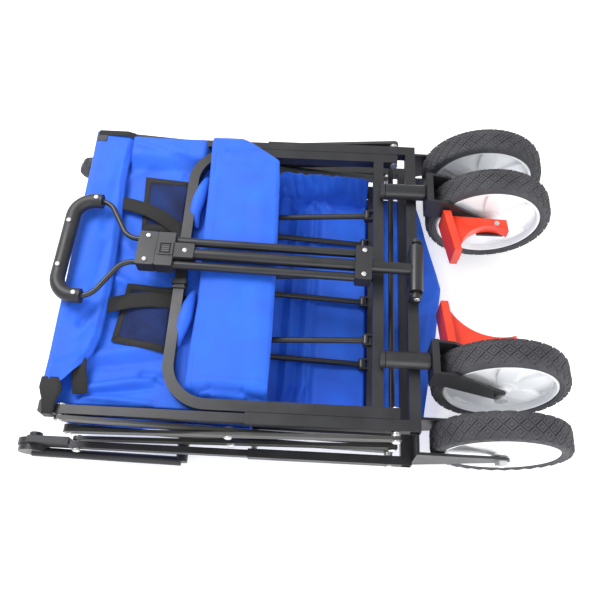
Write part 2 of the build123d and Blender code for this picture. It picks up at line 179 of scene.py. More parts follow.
def spread(tree, value, low, high):
    """The usual span of a noise, stretched to low and high."""
    ranged = tree.nodes.new("ShaderNodeMapRange")
    for name, number in zip(("From Min", "From Max", "To Min", "To Max"), (*NOISE_SPAN, low, high)):
        ranged.inputs[name].default_value = number
    wire(tree, value, ranged.inputs["Value"])
    return ranged.outputs["Result"]


def two_colours(tree, value, dark, light):
    """A colour between dark and light."""
    mix = tree.nodes.new("ShaderNodeMix")
    mix.data_type = "RGBA"
    mix.inputs[6].default_value = (*dark, 1)
    mix.inputs[7].default_value = (*light, 1)
    wire(tree, value, mix.inputs[0])
    return mix.outputs[2]


def bump(tree, shader, height, depth):
    """Relief of about depth millimetres on a shader."""
    relief = tree.nodes.new("ShaderNodeBump")
    relief.inputs["Distance"].default_value = depth * MM
    relief.inputs["Strength"].default_value = 1.0
    wire(tree, height, relief.inputs["Height"])
    wire(tree, relief.outputs["Normal"], shader.inputs["Normal"])


def hard_finish(name, dark, light, rough, grain, depth, **sockets):
    """Moulded, painted or plated stock: mottled colour, uneven gloss and a fine grain."""
    made, tree, shader = node_material(name)
    place = tree.nodes.new("ShaderNodeTexCoord").outputs["Object"]
    mottle = noise(tree, place, MOTTLE, 5.0)
    fine = noise(tree, place, grain, 2.0)
    wire(tree, two_colours(tree, spread(tree, mottle, 0, 1), dark, light), shader.inputs["Base Color"])
    wire(tree, spread(tree, mottle, *rough), shader.inputs["Roughness"])
    bump(tree, shader, fine, depth)
    for socket, value in sockets.items():
        shader.inputs[socket.replace("_", " ")].default_value = value
    return made


def grey(value, blue=0.0):
    return (value, value, value + blue)


powder_coat = hard_finish("powder_coat", grey(0.012, 0.002), grey(0.020, 0.004), (0.34, 0.46), 0.9, 0.05,
                          Specular_IOR_Level=0.55)
link_coat = hard_finish("link_coat", (0.020, 0.020, 0.018), (0.034, 0.034, 0.030), (0.30, 0.42), 0.9, 0.05,
                        Specular_IOR_Level=0.7)
zinc = hard_finish("zinc", grey(0.62), grey(0.78), (0.22, 0.38), 0.7, 0.03, Metallic=0.75)
black_nylon = hard_finish("black_nylon", grey(0.014, 0.001), grey(0.026, 0.004), (0.42, 0.55), 0.6, 0.08,
                          Specular_IOR_Level=0.5)
red_nylon = hard_finish("red_nylon", (0.86, 0.040, 0.012), (0.94, 0.060, 0.018), (0.28, 0.38), 2.0, 0.03,
                        Specular_IOR_Level=0.5, Coat_Weight=0.25)
disc_white = hard_finish("disc_white", (0.90, 0.92, 0.95), (0.96, 0.97, 0.98), (0.32, 0.42), 1.5, 0.03,
                         Specular_IOR_Level=0.5)
tread_rubber = hard_finish("tread_rubber", grey(0.048, 0.005), grey(0.078, 0.009), (0.60, 0.78), 0.8, 0.12,
                           Specular_IOR_Level=0.4)
grip_foam = hard_finish("grip_foam", grey(0.010), grey(0.020), (0.80, 0.92), 0.9, 0.35,
                        Specular_IOR_Level=0.2)
FINISHES = {
    "frame_steel": powder_coat, "link_steel": link_coat, "fastener": zinc, "tyre": tread_rubber,
    "rim": disc_white, "black_plastic": black_nylon, "red_plastic": red_nylon, "foam": grip_foam,
}

# %% Dress the CAD nodes by their slots
# A caster's pins are one node: the axle's nuts, past this x, are bright and the rest is black.
NUTS_FROM_X = 0.27
slot_of = {part["node"]: part["material_slot"] for part in frame["record"]["subparts"]}
for node, piece in frame["nodes"].items():
    finish = FINISHES.get(slot_of.get(node), powder_coat)
    capped = node in ("handle_pivot_bolt", "caster_near_pins", "caster_far_pins")
    piece.data.materials.clear()
    piece.data.materials.append(black_nylon if capped else finish)
    if node.endswith("_pins"):
        piece.data.materials.append(zinc)
    for face in piece.data.polygons:
        face.material_index = int(node.endswith("_pins") and face.center.x > NUTS_FROM_X)
print("dressed", len(frame["nodes"]), "CAD nodes;", len(slot_of), "with a slot")

# %% [markdown]
# ## Geometry Nodes that repeat one thing
# Tread blocks run round a wheel, and rivet heads sit at many places. Both are one
# small shape repeated by a rule, so a node tree repeats it. The two trees below
# end in Realize Instances and Set Material, and the result becomes a plain mesh.

# %% Node trees: a ring of copies, and copies at points
def new_tree(name, inputs):
    """A geometry tree with a geometry input, the named inputs, and a geometry output."""
    tree = bpy.data.node_groups.new(name, "GeometryNodeTree")
    tree.interface.new_socket("Geometry", in_out="INPUT", socket_type="NodeSocketGeometry")
    sockets = {}
    for label, kind, value in inputs:
        socket = tree.interface.new_socket(label, in_out="INPUT", socket_type="NodeSocket" + kind)
        if value is not None:
            socket.default_value = value
        sockets[label] = socket.identifier
    tree.interface.new_socket("Geometry", in_out="OUTPUT", socket_type="NodeSocketGeometry")
    return tree, tree.nodes.new("NodeGroupInput"), tree.nodes.new("NodeGroupOutput"), sockets


def close_tree(tree, source, instances, output):
    """Realize Instances and Set Material, then out."""
    realize = tree.nodes.new("GeometryNodeRealizeInstances")
    paint = tree.nodes.new("GeometryNodeSetMaterial")
    wire(tree, instances, realize.inputs["Geometry"])
    wire(tree, realize.outputs["Geometry"], paint.inputs["Geometry"])
    wire(tree, source.outputs["Finish"], paint.inputs["Material"])
    wire(tree, paint.outputs["Geometry"], output.inputs["Geometry"])


def maths(tree, operation, a, b):
    """One Math node; a and b are sockets or numbers."""
    node = tree.nodes.new("ShaderNodeMath")
    node.operation = operation
    for socket, value in zip(node.inputs, (a, b)):
        if isinstance(value, (int, float)):
            socket.default_value = value
        else:
            wire(tree, value, socket)
    return node.outputs[0]


ring_tree, source, out, RING = new_tree("ring_of_copies", [
    ("Count", "Int", 30), ("Phase", "Float", 0.0), ("Radius", "Float", 0.1),
    ("Offset", "Float", 0.0), ("Finish", "Material", None)])
shift = ring_tree.nodes.new("GeometryNodeTransform")
offset = ring_tree.nodes.new("ShaderNodeCombineXYZ")
wire(ring_tree, source.outputs["Offset"], offset.inputs["Y"])
wire(ring_tree, source.outputs["Radius"], offset.inputs["Z"])
wire(ring_tree, source.outputs["Geometry"], shift.inputs["Geometry"])
wire(ring_tree, offset.outputs["Vector"], shift.inputs["Translation"])
line = ring_tree.nodes.new("GeometryNodeMeshLine")
wire(ring_tree, source.outputs["Count"], line.inputs["Count"])
line.inputs["Offset"].default_value = (0, 0, 0)
index = ring_tree.nodes.new("GeometryNodeInputIndex")
step = maths(ring_tree, "DIVIDE", math.tau, source.outputs["Count"])
shifted = maths(ring_tree, "ADD", index.outputs[0], source.outputs["Phase"])
turned = maths(ring_tree, "MULTIPLY", shifted, step)
turn = ring_tree.nodes.new("ShaderNodeCombineXYZ")
wire(ring_tree, turned, turn.inputs["Y"])
copies = ring_tree.nodes.new("GeometryNodeInstanceOnPoints")
wire(ring_tree, line.outputs["Mesh"], copies.inputs["Points"])
wire(ring_tree, shift.outputs["Geometry"], copies.inputs["Instance"])
wire(ring_tree, turn.outputs["Vector"], copies.inputs["Rotation"])
close_tree(ring_tree, source, copies.outputs["Instances"], out)

points_tree, source, out, POINTS = new_tree("copies_at_points", [
    ("Head", "Object", None), ("Finish", "Material", None)])
head = points_tree.nodes.new("GeometryNodeObjectInfo")
wire(points_tree, source.outputs["Head"], head.inputs["Object"])
facing = points_tree.nodes.new("GeometryNodeInputNamedAttribute")
facing.data_type = "FLOAT_VECTOR"
facing.inputs["Name"].default_value = "facing"
aim = points_tree.nodes.new("FunctionNodeAlignEulerToVector")
aim.axis = "Z"
wire(points_tree, facing.outputs["Attribute"], aim.inputs["Vector"])
copies = points_tree.nodes.new("GeometryNodeInstanceOnPoints")
wire(points_tree, source.outputs["Geometry"], copies.inputs["Points"])
wire(points_tree, head.outputs["Geometry"], copies.inputs["Instance"])
wire(points_tree, aim.outputs["Rotation"], copies.inputs["Rotation"])
close_tree(points_tree, source, copies.outputs["Instances"], out)


def grown(obj, tree, values):
    """The plain mesh that a tree makes of an object, whose modifier then goes."""
    modifier = obj.modifiers.new(tree.name, "NODES")
    modifier.node_group = tree
    for identifier, value in values.items():
        modifier[identifier] = value
    bpy.context.view_layer.update()
    evaluated = obj.evaluated_get(bpy.context.evaluated_depsgraph_get())
    mesh = bpy.data.meshes.new_from_object(evaluated)
    obj.modifiers.remove(modifier)
    return mesh


def copies_at(name, places, facings, head, finish, body, slot):
    """A head, which goes, copied to places in metres with its own facing each, as one piece."""
    points = bpy.data.meshes.new(name)
    points.from_pydata([tuple(p) for p in places], [], [])
    attribute = points.attributes.new("facing", "FLOAT_VECTOR", "POINT")
    attribute.data.foreach_set("vector", [c for f in facings for c in f])
    carrier = linked(name + "_points", points)
    mesh = grown(carrier, points_tree, {POINTS["Head"]: head, POINTS["Finish"]: finish})
    for spent in (carrier, head):
        bpy.data.objects.remove(spent)
    mesh.name = name
    mesh.polygons.foreach_set("use_smooth", [True] * len(mesh.polygons))
    return attached(linked(name, mesh), body, slot)


print("trees:", ring_tree.name, "and", points_tree.name)

# %% [markdown]
# ## Meshes from plain lists
# The pieces below are all computed point by point in millimetres. These helpers
# turn such lists into objects in metres, lathe a profile about the wheel axis,
# and join several meshes into one piece.

# %% Mesh helpers
SAME_POINT = 0.00001


def mesh_object(name, points, faces, finish, smooth=True):
    """An object from points in millimetres."""
    mesh = bpy.data.meshes.new(name)
    mesh.from_pydata([tuple(c * MM for c in p) for p in points], [], faces)
    mesh.materials.append(finish)
    mesh.polygons.foreach_set("use_smooth", [smooth] * len(mesh.polygons))
    mesh.update()
    return linked(name, mesh)


def outward(obj):
    """Merges doubles and turns the faces out."""
    work = bmesh.new()
    work.from_mesh(obj.data)
    bmesh.ops.remove_doubles(work, verts=work.verts, dist=SAME_POINT)
    bmesh.ops.recalc_face_normals(work, faces=work.faces)
    work.to_mesh(obj.data)
    work.free()
    return obj


def lathed(profile, segments):
    """Points and faces of a closed profile of (radius, y) pairs turned about Y."""
    points, faces, n = [], [], len(profile)
    for i in range(segments):
        angle = math.tau * i / segments
        points += [(r * math.sin(angle), y, r * math.cos(angle)) for r, y in profile]
    for i in range(segments):
        a, b = i * n, (i + 1) % segments * n
        for j in range(n):
            k = (j + 1) % n
            faces.append((a + j, a + k, b + k, b + j))
    return points, faces


def joined(name, parts, finish):
    """One object from several objects, which go."""
    work = bmesh.new()
    for part in parts:
        work.from_mesh(part.data)
    mesh = bpy.data.meshes.new(name)
    flags = [face.smooth for face in work.faces]
    work.to_mesh(mesh)
    work.free()
    mesh.materials.clear()
    mesh.materials.append(finish)
    mesh.polygons.foreach_set("use_smooth", flags)
    mesh.polygons.foreach_set("material_index", [0] * len(mesh.polygons))
    for part in parts:
        bpy.data.objects.remove(part)
    return linked(name, mesh)


# %% [markdown]
# ## Tyres
# Each tyre is one foamed ring with a rounded shoulder, a raised line on its side
# and a tread of nested diamonds. A bump texture would leave the outline smooth,
# so the diamonds are real blocks: one is modelled, the ring tree repeats it in
# five rows, and the rows are then wrapped over the shoulder.

# %% Tread block and tyre
TREAD_RADIUS = 98.0
SHOULDER = 7.0
SHOULDER_Y = 13.0
DIAMONDS = 30
HALF_LONG = math.pi * TREAD_RADIUS / DIAMONDS - 0.9
ROW_STEP = 9.2


def diamond_block(half_across, height):
    """A raised diamond with a sunk ring in it, flat on the tread."""
    sunk = height * 0.45
    rings = [(1.0, -1.4), (0.93, height), (0.62, height), (0.55, sunk), (0.40, sunk), (0.33, height)]
    points = [(sx * HALF_LONG * s, sy * half_across * s, z)
              for s, z in rings for sx, sy in ((1, 0), (0, 1), (-1, 0), (0, -1))]
    faces = [(4 * k + i, 4 * k + (i + 1) % 4, 4 * k + 4 + (i + 1) % 4, 4 * k + 4 + i)
             for k in range(len(rings) - 1) for i in range(4)]
    faces.append(tuple(4 * (len(rings) - 1) + i for i in range(4)))
    return points, faces


def wrapped(mesh):
    """Rolls the tread rows over the shoulders: y becomes a length along the tyre's section."""
    for vertex in mesh.vertices:
        x, y, z = (c / MM for c in vertex.co)
        radius = math.hypot(x, z)
        rise = radius - TREAD_RADIUS
        past = max(0.0, abs(y) - SHOULDER_Y) / SHOULDER
        new_radius = TREAD_RADIUS - SHOULDER + (SHOULDER + rise) * math.cos(past)
        if past > 0:
            y = math.copysign(SHOULDER_Y + (SHOULDER + rise) * math.sin(past), y)
        vertex.co = Vector((x * new_radius / radius, y, z * new_radius / radius)) * MM


def tread_rows(name):
    """Five rows of diamonds as one list of objects."""
    rows = []
    for label, y, half_across, height, phase in (
            ("middle", 0.0, ROW_STEP - 0.8, 1.8, 0.5), ("left", -ROW_STEP, ROW_STEP - 0.8, 1.8, 0.0),
            ("right", ROW_STEP, ROW_STEP - 0.8, 1.8, 0.0), ("left_lug", -2 * ROW_STEP, 5.2, 1.1, 0.5),
            ("right_lug", 2 * ROW_STEP, 5.2, 1.1, 0.5)):
        points, faces = diamond_block(half_across, height)
        block = mesh_object(f"{name}_{label}", points, faces, tread_rubber, smooth=False)
        mesh = grown(block, ring_tree, {RING["Count"]: DIAMONDS, RING["Phase"]: phase,
                                        RING["Radius"]: TREAD_RADIUS * MM, RING["Offset"]: y * MM,
                                        RING["Finish"]: tread_rubber})
        wrapped(mesh)
        block.data = mesh
        rows.append(block)
    return rows


def tyre(name):
    """The foamed ring and its tread, about the local Y axis."""
    half = [(83.0, -15.0), (83.1, -18.2), (84.2, -19.4), (86.4, -19.8), (87.6, -19.4), (88.0, -20.3),
            (89.2, -20.4), (89.8, -19.6), (91.0, -20.0), (93.7, -19.4), (95.9, -17.9), (97.5, -15.7),
            (98.0, -13.0), (98.2, -6.0)]
    profile = half + [(r, -y) for r, y in reversed(half)]
    ring = mesh_object(f"{name}_ring", *lathed(profile, 120), tread_rubber)
    outward(ring)
    return joined(name, [ring, *tread_rows(name)], tread_rubber)


# %% [markdown]
# ## Wheel discs
# The discs are white mouldings with six tilted facets between broad spokes, so
# one edge of each facet is flush and the other drops away. A height map on a
# flat disc would blur those edges. Here the grid's own lines follow the facets.

# %% Wheel disc
SPOKES = 6
DISC_ROWS = (24.0, 31.0, 40.0, 50.0, 60.0, 68.0, 73.5, 76.0, 77.2)
FACET_DROP = (0.0, 0.4, 3.6, 4.6, 5.4, 6.0, 6.0, 0.0, 0.0)
FACET_SHARES = ((None, 0), (-1, 0), (-0.6, 0.2), (-0.2, 0.4), (0.2, 0.6), (0.6, 0.8), (1, 1))
DISC_REACH = 53
DISC_Y, DISC_FALL = 14.0, 5.0
FACET_HALF, FACET_WIDENS, WALL_SLOPE = 5, 16, 2.0


def disc_face(side):
    """One face of the disc, with its facets."""
    points, faces = [], []
    for r, drop in zip(DISC_ROWS, FACET_DROP):
        half = math.radians(FACET_HALF + FACET_WIDENS * (r - DISC_ROWS[0]) / DISC_REACH)
        face_y = DISC_Y - DISC_FALL * ((r - DISC_ROWS[0]) / DISC_REACH) ** 0.7
        for k in range(SPOKES):
            centre = math.tau * (k + 0.5) / SPOKES
            for share, depth in FACET_SHARES:
                angle = centre - math.pi / SPOKES if share is None else centre + share * half
                points.append((r * math.sin(angle), side * (face_y - drop * depth), r * math.cos(angle)))
            wall = centre + half + math.radians(WALL_SLOPE)
            points.append((r * math.sin(wall), side * face_y, r * math.cos(wall)))
    around = SPOKES * (len(FACET_SHARES) + 1)
    for row in range(len(DISC_ROWS) - 1):
        for i in range(around):
            a, b = row * around + i, row * around + (i + 1) % around
            faces.append((a, b, b + around, a + around) if side > 0 else (a, a + around, b + around, b))
    return points, faces


def wheel_disc(name):
    """Rim, two faceted faces and the hub, as one moulding."""
    rim = [(83.0, -16.5), (80.6, -18.6), (79.0, -18.2), (77.8, -16.0), (77.2, -8.9)]
    hub = [(6.2, -20.4), (11.5, -20.4), (13.0, -19.0), (13.6, -16.2), (18.6, -15.8), (20.4, -14.6),
           (24.0, -14.0)]
    parts = []
    for label, half, segments in (("rim", rim, 120), ("hub", hub, 48)):
        profile = half + [(r, -y) for r, y in reversed(half)]
        parts.append(outward(mesh_object(f"{name}_{label}", *lathed(profile, segments), disc_white)))
    for side in (-1, 1):
        parts.append(mesh_object(f"{name}_face{side}", *disc_face(side), disc_white, False))
    return joined(name, parts, disc_white)


# %% Put the four wheels on their axles
def axle_matrix(joint):
    """The place and turn of a wheel whose axle is a joint of the part."""
    y = Vector(joint["axis"]).normalized()
    x = Vector((1, 0, 0))
    turned = Matrix((x, y, x.cross(y))).transposed().to_4x4()
    turned.translation = Vector(joint["pos_m"])
    return turned


joint_of = {joint["child"]: joint for joint in frame["joints"]}
tyre_master, disc_master = tyre("tyre_master"), wheel_disc("disc_master")
for word, body in (("rear_wheel_near", "rear_wheel_near"), ("rear_wheel_far", "rear_wheel_far"),
                   ("caster_near", "caster_near_wheel"), ("caster_far", "caster_far_wheel")):
    place = axle_matrix(joint_of[body])
    for master, kind in ((tyre_master, "tyre"), (disc_master, "rim")):
        mesh = master.data.copy()
        mesh.transform(place)
        piece = attached(linked(f"{word}_{kind}_detailed", mesh), body, kind)
        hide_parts(f"{word}_{kind}")
tyre_faces, disc_faces = len(tyre_master.data.polygons), len(disc_master.data.polygons)
bpy.data.objects.remove(tyre_master)
bpy.data.objects.remove(disc_master)
print("each tyre has", tyre_faces, "faces and each disc", disc_faces)

# %% [markdown]
# ## Fastener heads
# The scissor pivots end in bright domed rivets, and the pull handle is screwed
# together. The part has them as short flat pins. A dome on each pin's end is
# what catches the light, so one dome is lathed and copied to every end.

# %% Rivet heads on the pins
def dome(name, radius, height):
    """A domed head that faces +Z, with a small flat collar."""
    profile = [(radius, 0.0), (radius, height * 0.3)]
    profile += [(radius * math.cos(t), height * (0.3 + 0.7 * math.sin(t))) for t in (0.4, 0.8, 1.2)]
    points, faces, n, around = [], [], len(profile), 16
    for i in range(around):
        angle = math.tau * i / around
        points += [(r * math.cos(angle), r * math.sin(angle), z) for r, z in profile]
    for i in range(around):
        a, b = i * n, (i + 1) % around * n
        faces += [(a + j, b + j, b + j + 1, a + j + 1) for j in range(n - 1)]
    faces.append(tuple(i * n + n - 1 for i in range(around)))
    faces.append(tuple(i * n for i in reversed(range(around))))
    return mesh_object(name, points, faces, zinc)


def loose_boxes(node):
    """The box of each separate solid of a CAD node, in metres, in an order that each run gives."""
    work = bmesh.new()
    work.from_mesh(frame["nodes"][node].data)
    bmesh.ops.remove_doubles(work, verts=work.verts, dist=0.00002)
    left, boxes = set(work.verts), []
    while left:
        stack, seen = [left.pop()], []
        while stack:
            vertex = stack.pop()
            seen.append(vertex.co.copy())
            for edge in vertex.link_edges:
                other = edge.other_vert(vertex)
                if other in left:
                    left.remove(other)
                    stack.append(other)
        co = np.array(seen)
        boxes.append((co.min(0), co.max(0)))
    work.free()
    return sorted(boxes, key=lambda box: box[0].round(5).tolist() + box[1].round(5).tolist())


def heads_at(name, places, facings, radius, height, body):
    """Domes at places, each facing its own way, as one piece."""
    copies_at(name, places, facings, dome(name + "_dome", radius, height), zinc, body, "fastener")


RIVETED = {
    "rear_frame_rivets": "rear_frame", "inner_rear_rivets": "inner_rear_scissor",
    "rear_top_rivets": "outer_rear_scissor", "outer_front_rivets": "outer_front_scissor",
    "front_top_rivets": "inner_front_scissor", "mid_cross_rod": "outer_rear_scissor",
}
NARROWEST_PIN, OUTER_SIDE = 0.009, 0.236
head_count = 0
for node, body in RIVETED.items():
    places, facings = [], []
    for low, high in loose_boxes(node):
        middle = (low + high) / 2
        if high[0] - low[0] < NARROWEST_PIN:
            continue
        for side in (-1, 1):
            end = low[1] if side < 0 else high[1]
            if side * end > OUTER_SIDE:
                places.append((middle[0], end, middle[2]))
                facings.append((0, side, 0))
    if places:
        heads_at(node + "_domes", places, facings, 5.6, 2.4, body)
        head_count += len(places)
print("rivet domes:", head_count)

# %% [markdown]
# ## Cloth and webbing finishes
# The basket is a close plain weave of polyester with a faint shine, bound with
# black tape. The pockets are an open black mesh over the blue. An image could
# carry a weave, but two crossed sine waves in the sheet's own UV map, which is in
# metres, keep each yarn at its true width however the sheet is folded.

# %% Cloth and webbing finishes
def woven_finish(name, dark, light, yarn, rough, relief, ribs=False, crumple=0.5, **sockets):
    """A plain weave of yarns of that width in millimetres, or lengthwise ribs for webbing."""
    made, tree, shader = node_material(name)
    coordinates = tree.nodes.new("ShaderNodeTexCoord")
    split = tree.nodes.new("ShaderNodeSeparateXYZ")
    wire(tree, coordinates.outputs["UV"], split.inputs["Vector"])
    rate = math.pi / (yarn * MM)
    warp = maths(tree, "SINE", maths(tree, "MULTIPLY", split.outputs["X"], rate), 0.0)
    weft_rate = rate * (0.35 if ribs else 1.0)
    weft = maths(tree, "SINE", maths(tree, "MULTIPLY", split.outputs["Y"], weft_rate), 0.0)
    weave = maths(tree, "MULTIPLY", warp, weft)
    patches = noise(tree, coordinates.outputs["Object"], 45.0, 4.0)
    crumples = noise(tree, coordinates.outputs["Object"], 16.0, 3.0)
    shade = maths(tree, "ADD", spread(tree, patches, 0.0, 0.8), maths(tree, "MULTIPLY", weave, 0.2))
    wire(tree, two_colours(tree, shade, dark, light), shader.inputs["Base Color"])
    wire(tree, spread(tree, patches, *rough), shader.inputs["Roughness"])
    yarns, slack = maths(tree, "MULTIPLY", weave, relief), maths(tree, "MULTIPLY", crumples, crumple)
    bump(tree, shader, maths(tree, "ADD", yarns, slack), 1.0)
    for socket, value in sockets.items():
        shader.inputs[socket.replace("_", " ")].default_value = value
    return made


blue_cloth = woven_finish("blue_cloth", (0.007, 0.100, 0.68), (0.012, 0.150, 0.86), 0.45, (0.50, 0.62), 0.06,
                          Sheen_Weight=0.12, Specular_IOR_Level=0.45)
black_webbing = woven_finish("black_webbing", grey(0.010), grey(0.020), 1.1, (0.60, 0.75), 0.25, ribs=True,
                             crumple=0.2, Sheen_Weight=0.05, Specular_IOR_Level=0.35)
pocket_mesh = woven_finish("pocket_mesh", (0.006, 0.012, 0.055), (0.012, 0.040, 0.20), 1.6, (0.55, 0.7), 0.5,
                           crumple=1.6, Specular_IOR_Level=0.35)
print("cloth finishes:", blue_cloth.name, black_webbing.name, pocket_mesh.name)

# %% [markdown]
# ## How a sheet is made
# Every sheet is one surface that a small function describes: across goes from 0
# to 1 over its width, along over its length. Folds are added as long soft ridges
# between two points. Solidify then gives the sheet the thickness of real cloth.

# %% Sheet helpers
CLOTH_THICK = 0.7
STRIP_BLUR = 0.035


def mix(a, b, t):
    return a + (b - a) * t


def smooth(t):
    t = min(1.0, max(0.0, t))
    return t * t * (3 - 2 * t)


def track(stops, t):
    """The value at t along stops of (t, value), in order."""
    if t <= stops[0][0]:
        return stops[0][1]
    for (t0, v0), (t1, v1) in zip(stops, stops[1:]):
        if t <= t1:
            return mix(v0, v1, (t - t0) / (t1 - t0))
    return stops[-1][1]


def soft_track(stops, t):
    """The same, rounded at each stop."""
    for (t0, v0), (t1, v1) in zip(stops, stops[1:]):
        if t <= t1:
            return mix(v0, v1, smooth((t - t0) / (t1 - t0)))
    return stops[-1][1]


def folds(ridges, x, y):
    """The height of soft ridges (x0, y0, x1, y1, height, width) at a point."""
    total = 0.0
    for x0, y0, x1, y1, height, width in ridges:
        dx, dy = x1 - x0, y1 - y0
        t = ((x - x0) * dx + (y - y0) * dy) / (dx * dx + dy * dy)
        near = min(1.0, max(0.0, t))
        away = math.hypot(x - x0 - near * dx, y - y0 - near * dy)
        total += height * math.exp(-((away / width) ** 2))
    return total


def sheet_mesh(name, surface, cells, cut, finish, thick=CLOTH_THICK):
    """A sheet of cells[0] by cells[1] quads over surface(across, along), with UVs in metres."""
    across, along = cells
    points = [surface(i / across, j / along) for j in range(along + 1) for i in range(across + 1)]
    faces = [(j * (across + 1) + i, j * (across + 1) + i + 1, (j + 1) * (across + 1) + i + 1,
              (j + 1) * (across + 1) + i) for j in range(along) for i in range(across)]
    obj = mesh_object(name, points, faces, finish)
    uv = obj.data.uv_layers.new(name="cut")
    for face in obj.data.polygons:
        for loop in face.loop_indices:
            row, column = divmod(obj.data.loops[loop].vertex_index, across + 1)
            uv.data[loop].uv = (column / across * cut[0] * MM, row / along * cut[1] * MM)
    wall = obj.modifiers.new("cloth_thickness", "SOLIDIFY")
    wall.thickness = thick * MM
    wall.offset = 0.0
    return obj


def cut_sheet(name, surface, cells, cut, finish, body, held, rests_on, **thick):
    """A sheet on its body, with, in metres, the flat size that it is cut to."""
    slot = "blue_cloth" if finish is blue_cloth else "black_plastic"
    piece = attached(sheet_mesh(name, surface, cells, cut, finish, **thick), body, slot)
    return piece


def strip_surface(line, width):
    """A strip along a line of points, with its width level and square to the line."""
    stops = [Vector(p) for p in line]
    lengths = [0.0]
    for a, b in zip(stops, stops[1:]):
        lengths.append(lengths[-1] + (b - a).length)

    def place(t):
        s = min(max(t, 0.0), 1.0) * lengths[-1]
        for k in range(len(stops) - 1):
            if s <= lengths[k + 1] + 1e-9:
                return stops[k].lerp(stops[k + 1], (s - lengths[k]) / (lengths[k + 1] - lengths[k]))
        return stops[-1]

    def surface(across, along):
        before, after = place(along - STRIP_BLUR), place(along + STRIP_BLUR)
        here = (before + place(along) * 2 + after) / 4
        sideways = (after - before).cross(Vector((0, 0, 1))).normalized()
        return here + sideways * (across - 0.5) * width

    return surface, lengths[-1]


# %% [markdown]
# ## Stitches
# Topstitching is the mark of sewn cloth. A drawn line would vanish from the mesh,
# so each stitch is a small capsule, and the points tree lays one at every step
# along the seam, pointing along it.

# %% Stitches along a seam
PITCH, THREAD, THREAD_SIDES = 3.4, 0.32, 5


def stitch_row(name, line, body, finish):
    """A row of stitches along points in millimetres, as one piece."""
    stops = [Vector(p) for p in line]
    places, facings, spare = [], [], 0.0
    for a, b in zip(stops, stops[1:]):
        length = (b - a).length
        s = spare
        while s < length:
            places.append(a.lerp(b, s / length) * MM)
            facings.append((b - a).normalized())
            s += PITCH
        spare = s - length
    half, sides = PITCH * 0.36, THREAD_SIDES
    rings = [(-half, 0.3), (-half * 0.7, 1.0), (half * 0.7, 1.0), (half, 0.3)]
    turns = [(THREAD * math.cos(math.tau * i / sides), THREAD * math.sin(math.tau * i / sides))
             for i in range(sides)]
    points = [(s * x, s * y, z) for z, s in rings for x, y in turns]
    faces = [(k + i, k + (i + 1) % sides, k + sides + (i + 1) % sides, k + sides + i)
             for k in range(0, 3 * sides, sides) for i in range(sides)]
    faces += [tuple(reversed(range(sides))), tuple(range(3 * sides, 4 * sides))]
    stitch = mesh_object(name + "_stitch", points, faces, finish)
    copies_at(name, places, facings, stitch, finish, body, "blue_cloth")


blue_thread = hard_finish("blue_thread", (0.010, 0.07, 0.50), (0.020, 0.11, 0.62), (0.5, 0.6), 0.3, 0.05)
black_thread = hard_finish("black_thread", grey(0.012), grey(0.022), (0.5, 0.6), 0.3, 0.05)
print("threads:", blue_thread.name, black_thread.name)

# %% [markdown]
# ## The front of the basket
# The upper side of the folded cart shows the front of the basket: a wide panel
# that lies between the posts, with slack creases running in from its corners.
# A flat board would look like card, so the panel is a sheet with each crease laid
# in one by one. It stays under the hoop, which presses on it, and at its far edge it
# is drawn over the leg.

# %% Front panel
CLOTH_END = (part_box("basket_front_panel")[1] / MM).x
HOOP_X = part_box("front_arch")[0].x / MM
PANEL_Z = 139.4
PANEL_CREASES = [
    (-280, 238, -166, 202, 6.5, 6), (-272, 226, -172, 192, -5.0, 7), (-262, 200, -196, 176, 4.0, 11),
    (-312, 150, -250, 188, 4.0, 9), (-318, 60, -262, 40, 3.2, 12), (-300, -10, -262, -24, 3.6, 10),
    (-262, 30, -220, 12, 4.0, 9), (-300, -150, -200, -128, 4.4, 9), (-286, -166, -186, -150, -4.0, 8),
    (-302, -200, -196, -178, 6.0, 6), (-296, -208, -192, -192, -4.0, 5), (-288, -209, -130, -220, 4.6, 5),
    (-208, -172, -178, -178, -6.0, 8), (-236, 30, -196, 8, 3.4, 10), (-230, -8, -200, -30, -3.0, 9),
    (-268, -22, -226, -38, 4.2, 8), (-166, 40, -158, -40, 3.0, 8), (-160, -130, -150, -190, 3.4, 7),
]


def front_panel(across, along):
    x, y = mix(-334, CLOTH_END - 2, across), mix(-221, 236, along)
    over_leg = smooth((HOOP_X + 34 - x) / 16)
    y = min(y, mix(221 + 2 * (y - 221) / 15, y, over_leg)) if y > 221 else y
    z = PANEL_Z + folds(PANEL_CREASES, x, y) + 0.5 * math.sin(x / 21 + y / 47)
    under_hoop = smooth((x - HOOP_X + 16) / 12)
    z = mix(min(z, 153), min(z, PANEL_Z + 1.8), under_hoop)
    if y > 176:
        draped = mix(PANEL_Z, 160.4 + 0.5 * math.sin(x / 9), smooth((y - 176) / 34)) + 0.4 * (z - PANEL_Z)
        z = mix(z, min(max(z, draped), 162), over_leg * smooth((x + 288) / 10))
    if x < -304:
        z = min(z, PANEL_Z + 1.8)
    return x, y, z


PANEL_CUT = (284, 464)
front_cloth = cut_sheet("basket_front_cloth", front_panel, (110, 170), PANEL_CUT, blue_cloth, "front_posts",
                        "stretched", ["front_posts"])
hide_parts("basket_front_panel")
print("front panel cut in mm:", PANEL_CUT)

# %% [markdown]
# ## The turned-over rim
# The top of the basket is folded over the ends of the posts and sewn down. Its
# inner edge runs straight, then swings out to the near corner. The sheet follows
# a hooked section: flat on top, round the fold, and down the end.

